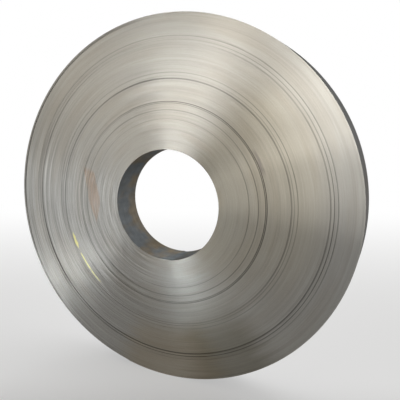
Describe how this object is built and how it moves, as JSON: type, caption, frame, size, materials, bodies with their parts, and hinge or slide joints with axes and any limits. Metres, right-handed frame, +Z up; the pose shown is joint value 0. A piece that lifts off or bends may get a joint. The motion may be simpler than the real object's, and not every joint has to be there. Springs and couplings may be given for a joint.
{
  "type": "steel coil",
  "caption": "Narrow steel strip wound into a large flat-ended coil with an open round bore, standing on its rim.",
  "frame": {"origin": "on the floor under the middle of the coil, where its rim touches", "axes": "+Y along the bore from the near end to the far end, +Z up"},
  "size_m": [1.6597, 0.186, 1.6597],
  "materials": {
    "steel_strip": "slit strip edges, wound in fine rings, silver grey with a warm cast"
  },
  "bodies": {
    "root": {"strip_coil": "steel_strip"}
  },
  "joints": []
}
